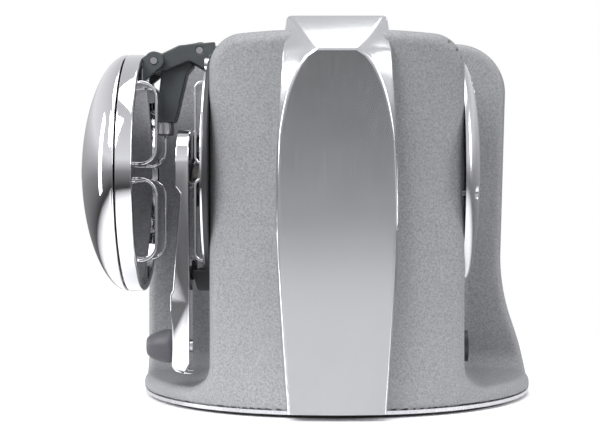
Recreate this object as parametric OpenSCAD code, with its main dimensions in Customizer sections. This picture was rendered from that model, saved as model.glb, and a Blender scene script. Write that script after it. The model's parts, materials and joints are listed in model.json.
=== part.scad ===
// Electric can opener: a cast housing with a smooth centre band, a wide rear
// stand, a toothed drive wheel turned by a geared motor, a lever that carries
// the cutter, a lid magnet on its arm, and a round front cover that flips up.
//
// Frame: origin on the underside of the non-slip pad, below the drive axis.
// +Z is up, -X is the opening head, +Y is the tall stand wall.

/* [Housing] */
// Half of the housing's width across the drive axis
housing_half_w = 71; // [66:1:80]
// Distance from the drive axis to the housing's free face
housing_near = 75; // [68:1:84]
// Height of the housing's top above the surface it stands on
housing_h = 211; // [206:1:230]
// Thickness of the cast walls
cast_wall = 4; // [3:0.5:5]
// Radius of the housing's upper corners
housing_corner_r = 17; // [10:1:22]
// Radius of the bowed free face, seen from above
housing_bow_r = 157; // [130:1:190]

/* [Stand] */
// Distance from the drive axis to the stand wall's inner face
wall_y = 70; // [64:1:80]
// Thickness of the stand wall
wall_t = 18; // [14:1:22]
// Half width of the base platform
base_rx = 120.5; // [114:0.5:126]
// Depth of the base platform in front of the stand wall
base_ry = 164; // [150:1:170]
// Height of the base platform's top
base_h = 12; // [10:0.5:15]
// Radius of the hollow between the platform and the walls
scoop_r = 18; // [10:1:22]
// Thickness of the non-slip pad
pad_t = 2; // [1.5:0.5:3]

/* [Centre band] */
// Half width of the smooth band at its ends
band_half_w = 27.5; // [23:0.5:33]
// How much wider the band is at mid height, each side
band_barrel = 4.5; // [0:0.5:6]
// How far the band's top stands above the housing
band_proud = 8; // [5:0.5:10]
// How far the band stands in front of the free face at its waist
band_waist = 9; // [6:0.5:12]
// How far the band stands in front of the free face at its foot
band_foot = 26; // [18:1:28]

/* [Drive] */
// Height of the drive axis
axis_z = 127; // [124:0.5:132]
// Diameter of the drive shaft
drive_shaft_d = 8; // [6:0.5:10]
// Outer radius of the toothed drive wheel
drive_wheel_r = 8.6; // [7:0.2:9.6]
// Teeth on the drive wheel
drive_wheel_teeth = 24; // [18:1:30]
// Gear module
gear_m = 1; // [0.85:0.05:1.15]
// Teeth on each pinion
pinion_teeth = 12; // [12:1:14]
// Teeth on each large gear
gear_teeth = 72; // [60:12:72]
// Face width of the gears
gear_w = 8; // [6:1:9]
// Diameter of the idler axle
idler_axle_d = 5; // [4:0.5:6]
// Diameter of the motor shaft
motor_shaft_d = 6; // [5:0.5:7]
// Radius of the rotor
rotor_r = 19; // [16:0.5:22]
// Stack length of the motor
motor_stack = 34; // [26:1:38]

/* [Lever and cutter] */
// Diameter of the lever's pivot stud
lever_pin_d = 9; // [7:0.5:11]
// Diameter of the cutting wheel
cutter_d = 18; // [15:0.5:19]
// Diameter of the cutting wheel's stud
cutter_stud_d = 5; // [4:0.5:6]
// Width of the lever's lower arm
lever_w = 20; // [14:1:24]
// Largest diameter of the lever's knob
knob_d = 19; // [16:0.5:22]
// Length of the lever's knob
knob_l = 15; // [12:1:18]

/* [Front cover] */
// Outer radius of the cover
cover_r = 69.3; // [62:0.5:72]
// Height of the cover's centre
cover_z = 134; // [131:0.5:136]
// Thickness of the cover's ring
cover_ring_t = 10; // [8:0.5:12]
// Height of the cover's dome
cover_dome_h = 26.2; // [20:0.2:30]
// Thickness of the cover's dome
cover_skin = 2; // [1.5:0.5:3]
// Diameter of the cover's hinge pin
cover_pin_d = 4; // [3:0.5:5]

/* [Rear cap] */
// Outer radius of the rear cap
cap_r = 66; // [60:0.5:68]
// Height of the rear cap's dome
cap_dome_h = 11.4; // [8:0.2:14]
// Radius of the circle that the cap's screws lie on
cap_screw_circle = 57; // [50:0.5:58]
// Number of screws in the cap
cap_screws = 5; // [4:1:6]

/* [Hidden] */

running_fit = 0.04;      // radial clearance of a shaft in its bore
part_gap = 0.3;          // gap between pieces that move past each other
fine = 96;
round_n = 32;

face_lean = 4;           // how far the free face leans out at top and foot
band_brow = 7;           // how far the band comes forward below its top
base_fullness = 2.15;    // 2 would make the platform half an ellipse

// Planes along X, from the opening head towards the rear.
front_x = -housing_half_w;
shroud_x = front_x - 3;          // front of the shroud's disc
bezel_x = shroud_x - 7.3;        // front of the bezel's scoops
lever_back_x = bezel_x - 1.2;    // lever's rear face
lever_t = 11;
lever_front_x = lever_back_x - lever_t;
cover_back_x = front_x - 41.3;    // rear plane of the cover's ring
cover_seam_x = cover_back_x - cover_ring_t;
plate_x = front_x + cast_wall + 4;   // front of the gear plate
plate_t = 2.5;
drive_gear_x = plate_x + plate_t + 3;
idler_big_x = drive_gear_x + gear_w + 3;
bracket_front_x = idler_big_x + gear_w + 6;
bracket_t = 3;
stator_x = bracket_front_x + bracket_t + 8;
stator_end_x = stator_x + motor_stack;
bracket_rear_x = stator_end_x + 8;
fan_x = bracket_rear_x + bracket_t + 4;

// Gear train: the idler lies below, the motor is in line with the drive shaft.
gear_r = gear_m * gear_teeth / 2;
pinion_r = gear_m * pinion_teeth / 2;
gear_centres = gear_r + pinion_r + 0.15 * gear_m;
idler_z = axis_z - gear_centres;
tie_rod_d = 5;
tie_rod_y = 44;
tie_rod_z = 38;

// Cutter and lever
nip_z = axis_z + drive_wheel_r;
cutter_t = 1.6;
cutter_z = nip_z + cutter_d / 2 - 1;
drive_wheel_t = 5.5;
drive_wheel_x = lever_front_x + 3.2;      // front face of the drive wheel
cutter_x = drive_wheel_x - 0.4 - cutter_t;
pivot_y = 26;
pivot_z = cutter_z + 3;
lever_y = -38;
lever_top_z = axis_z - 6;
lever_low_z = 19;
knob_z = 35;
lever_neck_t = 4;

// Cover hinge and magnet arm
hinge_x = front_x - 34.9;
hinge_z = cover_z + cover_r - 5;
ear_r = 6;
arm_pin_x = front_x - 9;
arm_pin_z = cover_z + 71;
arm_pin_d = 4;
arm_w = 15;
fork_t = 5;
fork_gap = 0.6;
fork_out_y = arm_w / 2 + fork_gap + fork_t;
flange_half_w = fork_out_y + 12;
flange_t = 2.7;
magnet_x = front_x - 30;
magnet_top_z = nip_z + 28;
magnet_d = 9;
magnet_t = 5;
magnet_mid_x = magnet_x - 0.4;

// Bent-sheet scoops on the bezel and on the back of the cover, which face each other
scoop_w = 22;
scoop_h = 48;
scoop_gap = 7;
scoop_y = 14;
scoop_sheet = 1.6;
scoop_reach = 10.5;      // beyond the rear plane of the cover

// Base and screws
screw_d = 4;
screw_head_d = 8;
screw_head_t = 2.6;
base_screw_x = 78;
base_screw_y = 36;
cover_t = 2;
gland_z = 34;
gland_y = -24;
cap_screw_d = 4;
cap_recess_d = 9;
cap_tilt = 31;
cap_screw_seat = 3.5;    // floor of each screw's recess above the flank
cap_fullness = 2.4;
cover_fullness = 1.85;
badge_t = 0.9;
badge_r = 13;
cap_opening_r = cap_screw_circle - 8;

// ---------------------------------------------------------------- outlines

// An arc as points, from angle a0 to angle a1
function arc(cx, cy, r, a0, a1, n = 8) =
    [for (i = [0:n]) let (a = a0 + (a1 - a0) * i / n)
        [cx + r * cos(a), cy + r * sin(a)]];

// Housing seen along Y: upright sides, rounded shoulders, gently crowned top
function housing_front_outline(inset = 0, low = 0) =
    let (w = housing_half_w - inset, h = housing_h - inset,
        r = max(2, housing_corner_r - inset), crown_h = 3)
    concat([[-w, low], [w, low]],
        arc(w - r, h - crown_h - r, r, 0, 84),
        [[0, h]],
        arc(-w + r, h - crown_h - r, r, 96, 180));

// Outward lean of the free face: most at the foot and at the top
function lean(z, top) = face_lean * pow((z / top - 0.5) * 2, 2);

// Housing seen along X: waisted free face, rounded top edge
function housing_side_outline(inset = 0, low = 0) =
    let (y = -housing_near + inset, h = housing_h - inset, r = max(3, 15 - inset))
    concat([[wall_y, low], [wall_y, h]],
        arc(y + r, h - r, r, 90, 160, 6),
        [for (i = [6:-1:0]) let (z = low + (h - r * 1.6 - low) * i / 7)
            [y + 1 - lean(z, h), z]]);

// Housing seen from above: flat flanks and a bowed free face
function housing_plan_outline(inset = 0) =
    let (w = housing_half_w - inset, y = -housing_near - face_lean + inset,
        r = housing_bow_r - inset, a = asin((w - 7) / r), edge = y + r - r * cos(a))
    concat([[w, wall_y], [w, edge + 9]],
        [[w - 0.8, edge + 5], [w - 3, edge + 2]],
        arc(0, y + r, r, -90 + a, -90 - a, 16),
        [[-w + 3, edge + 2], [-w + 0.8, edge + 5]],
        [[-w, edge + 9], [-w, wall_y]]);

// Band seen along X: a hollowed face that comes forward at its foot and brow
function band_side_outline(low = 0) =
    let (y = -housing_near - band_waist, top = housing_h + band_proud,
        brow_z = top - 21, waist_z = axis_z - 17, n = 10)
    concat([[wall_y - part_gap, low], [wall_y - part_gap, top],
            [-housing_near + 12, top], [-housing_near + 5, top - 2]],
        [for (i = [n:-1:0]) let (z = low + (brow_z - low) * i / n,
                t = (z - waist_z) / (z > waist_z ? brow_z - waist_z : waist_z - low),
                reach = z > waist_z ? band_brow : band_foot - band_waist)
            [y - reach * t * t, z]]);

// Band seen along Y: slightly barrelled, widest at mid height
function band_front_outline(low) =
    let (n = 10, top = housing_h + 40)
    concat([for (i = [0:n]) let (t = i / n)
            [band_half_w + band_barrel * sin(180 * t), low + (top - low) * t]],
        [for (i = [n:-1:0]) let (t = i / n)
            [-band_half_w - band_barrel * sin(180 * t), low + (top - low) * t]]);

// Stand wall seen along Y: a small corner over the head, a large one behind
wall_top = housing_h + 7;
wall_rear = base_rx - 16.5;      // rear edge above the flared foot
wall_head = -base_rx - 0.5;      // front edge
function wall_outline(inset = 0, low = 0) =
    let (flare_z = axis_z - 44, flare_r = 122, corner_r = 31, small_r = 8,
        rear = wall_rear - inset, head = wall_head + inset, top = wall_top - inset)
    concat(
        [[head, low], [base_rx - inset, low]],
        // flared foot at the rear
        arc(rear + flare_r, flare_z, flare_r, 210, 180, 6),
        arc(rear + 3 - corner_r, top - corner_r, corner_r, 0, 90, 8),
        arc(head + 9.5 + small_r, top - 3 - small_r, small_r, 90, 175, 5),
        [[head - 0.5, axis_z - 68], [head + 2, 36]]);

// A sine or cosine drawn out, so that an ellipse becomes fuller at its shoulders
function full(share) = sign(share) * pow(abs(share), 2 / base_fullness);

// Base platform seen from above: half a full ellipse in front of the stand wall
function base_outline(inset = 0) =
    concat([for (i = [0:36]) let (a = 180 + 5 * i)
            [(base_rx - inset) * full(cos(a)), wall_y + 4 + (base_ry - inset) * full(sin(a))]],
        [[base_rx - inset, wall_y + wall_t - inset], [-base_rx + inset, wall_y + wall_t - inset]]);

// Straight-sided gear teeth with backlash, one tooth on the +X side
function gear_outline(m, teeth) =
    let (pitch = 360 / teeth, r = m * teeth / 2)
    [for (i = [0:teeth - 1], p = [[r - 1.2 * m, -0.34], [r + 0.8 * m, -0.1],
            [r + 0.8 * m, 0.1], [r - 1.2 * m, 0.34]])
        let (a = (i + p[1]) * pitch) p[0] * [cos(a), sin(a)]];

// ----------------------------------------------------------------- helpers

// Turns shapes drawn in XY and raised along Z so that they run along X:
// the drawing's X becomes Y and its Y becomes Z.
module along_x(x0, length) {
    translate([x0, 0, 0]) rotate([90, 0, 90]) linear_extrude(height = length) children();
}

// The same along Y: the drawing's X stays X and its Y becomes Z.
module along_y(y0, length) {
    translate([0, y0 + length, 0]) rotate([90, 0, 0]) linear_extrude(height = length) children();
}

module rod_x(x0, length, d, y = 0, z = 0, n = fine) {
    translate([x0, y, z]) rotate([0, 90, 0]) cylinder(h = length, d = d, $fn = n);
}

module rod_y(y0, length, d, x = 0, z = 0, n = fine) {
    translate([x, y0, z]) rotate([-90, 0, 0]) cylinder(h = length, d = d, $fn = n);
}

module rod_z(z0, length, d, x = 0, y = 0, n = fine) {
    translate([x, y, z0]) cylinder(h = length, d = d, $fn = n);
}

// A domed cap with its rim at x0, bulging by h towards side (+1 or -1).
// Its curve is an ellipse at a fullness of 2 and squarer above that.
module domed_cap(x0, r, h, side, fullness) {
    steps = 14;
    translate([x0, 0, 0]) rotate([0, side * 90, 0]) rotate_extrude($fn = fine)
        polygon(concat([[0, 0], [r, 0]],
            [for (i = [1:steps]) let (t = cos(90 * i / steps))
                [r * t, h * pow(1 - pow(t, fullness), 1 / fullness)]]));
}

module base_screw_places() {
    for (sx = [-1, 1]) {
        translate([sx * base_screw_x, base_screw_y, 0]) children();
        translate([sx * base_screw_x * 0.62, -base_screw_y, 0]) children();
    }
}

module tie_rod_places() {
    for (sy = [-1, 1], sz = [-1, 1])
        translate([0, sy * tie_rod_y, axis_z + sz * tie_rod_z]) children();
}

module cap_screw_places() {
    for (i = [0:cap_screws - 1]) let (a = 360 / cap_screws * i + cap_tilt)
        translate([0, -cap_screw_circle * sin(a), cover_z + cap_screw_circle * cos(a)]) children();
}

module bracket_screw_places() {
    for (sy = [-1, 1])
        translate([0, sy * (flange_half_w - 6), arm_pin_z - 9]) children();
}

// Notch that the cover bracket's flange stands in
module flange_notch() {
    translate([shroud_x - 20, -flange_half_w - part_gap, arm_pin_z - 16])
        cube([40, 2 * (flange_half_w + part_gap), 40]);
}

// ------------------------------------------------------------------ castings

module base_solid(inset, low, top) {
    translate([0, 0, low]) linear_extrude(height = top - low) polygon(base_outline(inset));
}

module stand_casting() {
    low = pad_t + cover_t;
    color([0.58, 0.59, 0.62])
    difference() {
        union() {
            along_y(wall_y, wall_t) polygon(wall_outline(0, low));
            base_solid(0, low, base_h);
            scoop_fillets(low);
        }
        along_y(wall_y + cast_wall, wall_t - 2 * cast_wall)
            polygon(wall_outline(cast_wall, low - 1));
        base_solid(cast_wall, low - 1, base_h - cast_wall);
        // way for wires into the housing
        rod_z(low, base_h, 16, 0, 40, round_n);
    }
    color([0.58, 0.59, 0.62])
    base_screw_places() difference() {
        rod_z(low, base_h - cast_wall - low + 0.5, 10, 0, 0, round_n);
        rod_z(low - 1, 6, screw_d - 0.4, 0, 0, round_n);
    }
}

// Concave fillets from the platform up to the stand wall
module scoop_fillets(low) {
    for (side = [-1, 1])
        difference() {
            x0 = side < 0 ? -base_rx + 14 : housing_half_w + part_gap;
            length = base_rx - 14 - housing_half_w - part_gap;
            translate([x0, wall_y - scoop_r, base_h - 1])
                cube([length, scoop_r + 1, scoop_r + 1]);
            rod_x(x0 - 1, length + 2, 2 * scoop_r, wall_y - scoop_r, base_h + scoop_r, 48);
            translate([x0 - 1, wall_y - scoop_r - 1, base_h + scoop_r])
                cube([length + 2, scoop_r + 3, scoop_r]);
        }
}

module housing_solid(inset, low) {
    intersection() {
        along_y(-housing_near - 20, housing_near + 20 + wall_y)
            polygon(housing_front_outline(inset, low));
        along_x(-housing_half_w - 5, 2 * housing_half_w + 10)
            polygon(housing_side_outline(inset, low));
        translate([0, 0, low - 1]) linear_extrude(height = housing_h)
            polygon(housing_plan_outline(inset));
    }
}

module housing_shell() {
    low = base_h;
    color([0.58, 0.59, 0.62])
    difference() {
        housing_solid(0, low);
        difference() {
            housing_solid(cast_wall, low - 1);
            translate([-200, wall_y - cast_wall, 0]) cube([400, 20, 400]);
        }
        rod_x(front_x - 1, cast_wall + 2, 30, 0, axis_z);
        rod_x(front_x - 1, cast_wall + 2, lever_pin_d, pivot_y, pivot_z);
        rod_x(-front_x - cast_wall - 1, cast_wall + 2, 2 * cap_opening_r, 0, cover_z);
        cap_screw_places() rod_x(-front_x - cast_wall - 1, cast_wall + 2, cap_screw_d, 0, 0, round_n);
        translate([-front_x - cast_wall - 1, gland_y, gland_z]) rotate([0, 90, 0])
            cylinder(h = cast_wall + 2, d = 12, $fn = fine);
        bracket_screw_places() rod_x(front_x - 1, cast_wall + 2, screw_d);
    }
}

module centre_band() {
    low = pad_t + cover_t;
    color([0.8, 0.81, 0.83])
    difference() {
        intersection() {
            along_x(-60, 120) polygon(band_side_outline(low));
            along_y(-housing_near - 60, housing_near + 60 + wall_y)
                polygon(band_front_outline(low - 1));
        }
        housing_solid(0, base_h);
        // seat on the base platform
        base_solid(0, -1, base_h);
    }
}

module base_cover() {
    color([0.5, 0.5, 0.52])
    difference() {
        base_solid(1, pad_t, pad_t + cover_t - 0.02);
        base_screw_places() rod_z(0, 10, screw_d + 0.6, 0, 0, round_n);
    }
}

module non_slip_pad() {
    color([0.1, 0.1, 0.1])
    difference() {
        base_solid(6, 0, pad_t);
        base_screw_places() rod_z(-1, 10, screw_head_d + 3, 0, 0, round_n);
    }
}

module base_screws() {
    color([0.75, 0.75, 0.77])
    base_screw_places() {
        rod_z(pad_t - 1.6, 1.6, screw_head_d, 0, 0, round_n);
        rod_z(pad_t - 0.1, cover_t + 4, screw_d - 0.5, 0, 0, round_n);
    }
}

// --------------------------------------------------------------------- head

module front_shroud() {
    skirt_z = cover_z - 56;
    color([0.08, 0.08, 0.09])
    difference() {
        union() {
            rod_x(shroud_x, 3, 2 * cover_r, 0, cover_z);
            intersection() {
                rod_x(bezel_x - 0.3, shroud_x - bezel_x + 0.5, 2 * cover_r, 0, cover_z);
                translate([bezel_x - 1, -cover_r, cover_z - cover_r])
                    cube([12, 2 * cover_r, skirt_z - cover_z + cover_r]);
            }
            rod_x(bezel_x + 1, shroud_x - bezel_x, 26, 0, axis_z);
            rod_x(bezel_x + 1, shroud_x - bezel_x, 22, pivot_y, pivot_z);
        }
        rod_x(front_x - 30, 40, 16, 0, axis_z);
        rod_x(front_x - 30, 40, lever_pin_d, pivot_y, pivot_z);
        bracket_screw_places() rod_x(front_x - 30, 40, screw_d);
        flange_notch();
    }
}

// Outline of a scoop seen along Y: open at x0, with round corners at its tip x1
function scoop_outline(x0, x1, z0, z1, r) =
    let (side = x1 > x0 ? 1 : -1, turn = side > 0 ? 0 : 180, mid = x1 - side * r)
    concat([[x0, z0]],
        arc(mid, z0 + r, r, turn - 90 * side, turn, 6),
        arc(mid, z1 - r, r, turn, turn + 90 * side, 6),
        [[x0, z1]]);

// One bent-sheet scoop that stands on a plate at x0 and reaches to x1
module scoop(x0, x1, y0, z0, z1, r) {
    side = x1 > x0 ? 1 : -1;
    along_y(y0, scoop_w) difference() {
        polygon(scoop_outline(x0, x1, z0, z1, r));
        polygon(scoop_outline(x0 - side, x1 - side * scoop_sheet,
            z0 + scoop_sheet, z1 - scoop_sheet, r - scoop_sheet));
    }
}

// The set of four: two above and two below the level of the drive axis
module scoops(x0, x1, r) {
    for (y0 = [-scoop_y - scoop_w, scoop_y]) {
        scoop(x0, x1, y0, cover_z + scoop_gap / 2, cover_z + scoop_gap / 2 + scoop_h, r);
        scoop(x0, x1, y0, cover_z - scoop_gap / 2 - scoop_h, cover_z - scoop_gap / 2, r);
    }
}

module front_bezel() {
    floor_t = 1.5;
    color([0.85, 0.86, 0.88])
    difference() {
        union() {
            intersection() {
                rod_x(shroud_x - floor_t, floor_t, 2 * cover_r - 4, 0, cover_z);
                translate([shroud_x - 10, -cover_r, cover_z - 54])
                    cube([20, 2 * cover_r, 110]);
            }
            scoops(shroud_x - floor_t + 0.1, bezel_x, 5);
        }
        rod_x(front_x - 30, 40, 26.4, 0, axis_z);
        rod_x(front_x - 30, 40, 22.4, pivot_y, pivot_z);
        flange_notch();
    }
}

module shaft_bushings() {
    bush_bore = drive_shaft_d + 2 * running_fit;
    color([0.72, 0.55, 0.3]) {
        difference() {
            union() {
                rod_x(bezel_x + 0.5, front_x - bezel_x + 2, 16, 0, axis_z);
                rod_x(bezel_x - 0.5, 1.5, 20, 0, axis_z);
            }
            rod_x(bezel_x - 5, 60, bush_bore, 0, axis_z);
        }
        difference() {
            rod_x(plate_x - 2, plate_t + 3, 14, 0, axis_z);
            rod_x(bezel_x - 5, 60, bush_bore, 0, axis_z);
        }
    }
}

// -------------------------------------------------------- gearbox and motor

module gear_plate() {
    color([0.6, 0.6, 0.62])
    difference() {
        translate([plate_x, -52, idler_z - 30]) cube([plate_t, 104, axis_z - idler_z + 76]);
        rod_x(plate_x - 1, plate_t + 2, 14, 0, axis_z);
        rod_x(plate_x - 1, plate_t + 2, idler_axle_d, 0, idler_z);
        tie_rod_places() rod_x(plate_x - 1, plate_t + 2, tie_rod_d);
        rod_x(plate_x - 1, plate_t + 2, lever_pin_d, pivot_y, pivot_z);
    }
}

module tie_rods() {
    color([0.7, 0.7, 0.72])
    tie_rod_places() {
        rod_x(front_x + cast_wall, bracket_rear_x + bracket_t - front_x - cast_wall,
            tie_rod_d - 0.02, 0, 0, round_n);
        rod_x(bracket_rear_x + bracket_t, 3.5, 9, 0, 0, 6);
        rod_x(plate_x + plate_t, 3, 9, 0, 0, 6);
    }
}

module idler_axle() {
    color([0.7, 0.7, 0.72]) {
        rod_x(plate_x, bracket_front_x + bracket_t - plate_x, idler_axle_d, 0, idler_z);
        rod_x(plate_x - 1.5, 1.5, idler_axle_d + 3, 0, idler_z);
    }
}

module motor_stator() {
    color([0.35, 0.36, 0.38])
    difference() {
        translate([stator_x, -36, axis_z - 30]) cube([motor_stack, 72, 84]);
        rod_x(stator_x - 1, motor_stack + 2, 2 * rotor_r + 1, 0, axis_z);
        translate([stator_x - 1, -18, axis_z + 26]) cube([motor_stack + 2, 36, 16]);
    }
}

module motor_coil() {
    color([0.7, 0.35, 0.15])
    difference() {
        translate([stator_x - 6, -17.5, axis_z + 26.3]) cube([motor_stack + 12, 35, 33]);
        translate([stator_x - 0.02, -20, axis_z + 41.98]) cube([motor_stack + 0.04, 40, 12.04]);
    }
}

module motor_bracket(x0) {
    difference() {
        union() {
            translate([x0, -52, axis_z - 46]) cube([bracket_t, 104, 92]);
            rod_x(x0 - 3, bracket_t + 5, 16, 0, axis_z);
        }
        rod_x(x0 - 10, bracket_t + 20, motor_shaft_d + 2 * running_fit, 0, axis_z);
        tie_rod_places() rod_x(x0 - 1, bracket_t + 2, tie_rod_d);
        for (sy = [-1, 1]) rod_x(x0 - 1, bracket_t + 2, 18, sy * 24, axis_z + 18);
    }
}

module motor_front_bracket() {
    color([0.62, 0.62, 0.64])
    difference() {
        union() {
            motor_bracket(bracket_front_x);
            translate([bracket_front_x, -9, idler_z - 8]) cube([bracket_t, 18, 20]);
            standoffs(bracket_front_x + bracket_t, stator_x);
        }
        rod_x(bracket_front_x - 1, bracket_t + 2, idler_axle_d, 0, idler_z);
    }
}

module motor_rear_bracket() {
    color([0.62, 0.62, 0.64]) {
        motor_bracket(bracket_rear_x);
        standoffs(stator_end_x, bracket_rear_x);
    }
}

// Pads that hold the stator between the brackets
module standoffs(x0, x1) {
    for (sy = [-1, 1])
        rod_x(x0, x1 - x0, 8, sy * 31, axis_z - 22, round_n);
}

module cord_gland() {
    x0 = -front_x - cast_wall;
    color([0.1, 0.1, 0.1])
    difference() {
        union() {
            rod_x(x0, cast_wall, 12, gland_y, gland_z);
            rod_x(-front_x, 4, 18, gland_y, gland_z);
            rod_x(x0 - 3, 3, 16, gland_y, gland_z);
        }
        rod_x(x0 - 10, 40, 7, gland_y, gland_z);
    }
}

module terminal_block() {
    color([0.9, 0.9, 0.86])
    difference() {
        translate([10, -44, base_h]) cube([30, 14, 12]);
        for (i = [0:2]) rod_z(base_h + 4, 20, 3.4, 15 + 10 * i, -37, round_n);
    }
}

module switch_body() {
    color([0.12, 0.12, 0.13])
    difference() {
        translate([lever_front_x + 2, lever_y + lever_w / 2 + 2.5, cover_z - 62])
            cube([bezel_x - lever_front_x - 2 - 0.3, 18, 11]);
        rod_y(lever_y, 30, 4 + 2 * running_fit, (lever_front_x + 2 + bezel_x) / 2,
            cover_z - 56.5);
    }
}

module switch_plunger() {
    color([0.85, 0.2, 0.15])
    rod_y(lever_y + lever_w / 2 + part_gap, 8, 4, (lever_front_x + 2 + bezel_x) / 2,
        cover_z - 56.5);
}

// ------------------------------------------------------------ moving drive

module drive_shaft() {
    color([0.75, 0.75, 0.77])
    rod_x(drive_wheel_x - 3.2, drive_gear_x + gear_w + 1.5 - drive_wheel_x + 3.2,
        drive_shaft_d, 0, axis_z);
}

module drive_wheel() {
    pitch = 360 / drive_wheel_teeth;
    color([0.7, 0.7, 0.72])
    difference() {
        translate([drive_wheel_x, 0, axis_z]) rotate([90, 0, 90])
            linear_extrude(height = drive_wheel_t)
            polygon([for (i = [0:drive_wheel_teeth - 1], k = [0, 1])
                let (a = (i + k / 2) * pitch, r = drive_wheel_r - k * 0.9)
                r * [cos(a), sin(a)]]);
        rod_x(drive_wheel_x - 1, drive_wheel_t + 2, drive_shaft_d, 0, axis_z);
    }
}

module drive_gear() {
    color([0.92, 0.9, 0.84])
    difference() {
        along_x(drive_gear_x, gear_w) translate([0, axis_z]) rotate(-90 + 180 / gear_teeth)
            polygon(gear_outline(gear_m, gear_teeth));
        rod_x(drive_gear_x - 1, gear_w + 2, drive_shaft_d, 0, axis_z);
        for (i = [0:5])
            translate([drive_gear_x - 1, 0, axis_z]) rotate([60 * i, 0, 0])
                rod_x(0, gear_w + 2, gear_r * 0.36, 0, gear_r * 0.58, round_n);
    }
}

module shaft_clip() {
    color([0.3, 0.3, 0.32])
    difference() {
        rod_x(drive_wheel_x - 1.3, 1.1, drive_shaft_d + 4, 0, axis_z, round_n * 2);
        rod_x(drive_wheel_x - 3, 5, drive_shaft_d, 0, axis_z);
    }
}

module idler_gear() {
    color([0.92, 0.9, 0.84])
    difference() {
        union() {
            along_x(idler_big_x, gear_w) translate([0, idler_z]) rotate(90 + 180 / gear_teeth)
                polygon(gear_outline(gear_m, gear_teeth));
            along_x(drive_gear_x - 0.5, idler_big_x - drive_gear_x + 1)
                translate([0, idler_z]) rotate(90)
                polygon(gear_outline(gear_m, pinion_teeth));
            rod_x(idler_big_x + gear_w - 0.5, 3, 12, 0, idler_z);
        }
        rod_x(drive_gear_x - 5, 60, idler_axle_d + 2 * running_fit, 0, idler_z);
        for (i = [0:5])
            translate([0, 0, idler_z]) rotate([60 * i, 0, 0])
                rod_x(idler_big_x - 1, gear_w + 2, gear_r * 0.36, 0, gear_r * 0.58, round_n);
    }
}

module motor_rotor() {
    shaft_x = drive_gear_x + gear_w + 2.4;
    color([0.5, 0.5, 0.53]) {
        rod_x(shaft_x, fan_x + 12 - shaft_x, motor_shaft_d, 0, axis_z);
        difference() {
            rod_x(stator_x, motor_stack, 2 * rotor_r, 0, axis_z);
            rod_x(stator_x - 1, motor_stack + 2, motor_shaft_d - 1, 0, axis_z);
        }
        difference() {
            along_x(idler_big_x - 0.5, gear_w + 1) translate([0, axis_z]) rotate(-90)
                polygon(gear_outline(gear_m, pinion_teeth));
            rod_x(idler_big_x - 2, gear_w + 4, motor_shaft_d - 1, 0, axis_z);
        }
    }
}

module cooling_fan() {
    blades = 7;
    color([0.15, 0.15, 0.16])
    difference() {
        union() {
            rod_x(fan_x, 10, 16, 0, axis_z);
            rod_x(fan_x, 1.5, 62, 0, axis_z);
            for (i = [0:blades - 1])
                translate([fan_x, 0, axis_z]) rotate([360 / blades * i, 0, 0])
                    translate([1, 6, -0.9]) cube([8, 25, 1.8]);
        }
        rod_x(fan_x - 1, 12, motor_shaft_d, 0, axis_z);
    }
}

// ---------------------------------------------------------- lever and cutter

module lever_pivot_stud() {
    stud_end = lever_back_x - 8;
    color([0.75, 0.75, 0.77]) {
        rod_x(stud_end - 2.5, plate_x + plate_t - stud_end + 2.5, lever_pin_d, pivot_y, pivot_z);
        rod_x(stud_end - 3, 2.6, lever_pin_d + 6, pivot_y, pivot_z);
        rod_x(plate_x + plate_t, 2.5, lever_pin_d + 4, pivot_y, pivot_z);
    }
}

// Lever seen along Y: thin where it leaves the cutter, thick at the hand end
module lever_profile() {
    b = lever_back_x;
    f = lever_front_x;
    polygon([[b - 8, lever_top_z + 4], [b - 8, pivot_z + 30], [b, pivot_z + 30],
        [b, 26], [b - 2.5, lever_low_z + 1], [f + 3, lever_low_z + 2],
        [f + 1, lever_low_z + 5], [f + 1, knob_z + knob_d / 2 + 3], [f, knob_z + knob_d / 2 + 9],
        [f, 64], [f + 1.4, 67], [b - lever_neck_t - 1, lever_top_z]]);
}

// Lever seen along X: hub, cross arm over the cutter, long lower arm
module lever_face() {
    hub_r = lever_pin_d / 2 + 5.5;
    y0 = lever_y - lever_w / 2;
    y1 = lever_y + lever_w / 2;
    polygon(concat(
        arc(pivot_y, pivot_z, hub_r, -80, 90, 10),
        arc(lever_y + 4, pivot_z - 8, 19, 90, 180, 8),
        [[y0 - 3, 100], [y0, 60]],
        arc(lever_y, lever_low_z + lever_w / 2 - 3, lever_w / 2, 180, 360, 10),
        [[y1, 60], [y1 - 1, 95], [y1, axis_z + 4], [-14, nip_z + 3], [12, nip_z + 2]]));
}

module lever() {
    color([0.85, 0.86, 0.88])
    difference() {
        intersection() {
            along_y(-120, 240) lever_profile();
            along_x(lever_front_x - 2, lever_t + 4) lever_face();
        }
        rod_x(lever_front_x - 5, 40, lever_pin_d + 2 * running_fit, pivot_y, pivot_z);
        rod_x(lever_front_x - 5, 40, cutter_stud_d, 0, cutter_z);
        rod_x(lever_front_x - 5, 40, screw_d, lever_y, knob_z);
        // room round the drive shaft's bush
        rod_x(lever_front_x - 5, 40, 2 * drive_wheel_r + 5, 0, axis_z);
    }
}

module lever_knob() {
    color([0.22, 0.22, 0.24])
    difference() {
        translate([lever_front_x + 1, lever_y, knob_z]) rotate([0, -90, 0])
            rotate_extrude($fn = fine)
            polygon(concat([[0, 0], [knob_d / 2 - 1, 0], [knob_d / 2, 2]],
                [for (i = [1:6]) let (t = i / 6)
                    [knob_d / 2 - 3 * t * t, 2 + (knob_l - 4) * t]],
                [[knob_d / 2 - 5, knob_l], [0, knob_l]]));
        rod_x(lever_front_x - knob_l + 5, knob_l, screw_d, lever_y, knob_z, round_n);
    }
}

module knob_screw() {
    color([0.75, 0.75, 0.77]) {
        rod_x(lever_front_x - knob_l + 5, knob_l + lever_t - 5, screw_d, lever_y, knob_z, round_n);
        rod_x(lever_back_x, 1, 7, lever_y, knob_z, round_n);
    }
}

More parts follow.
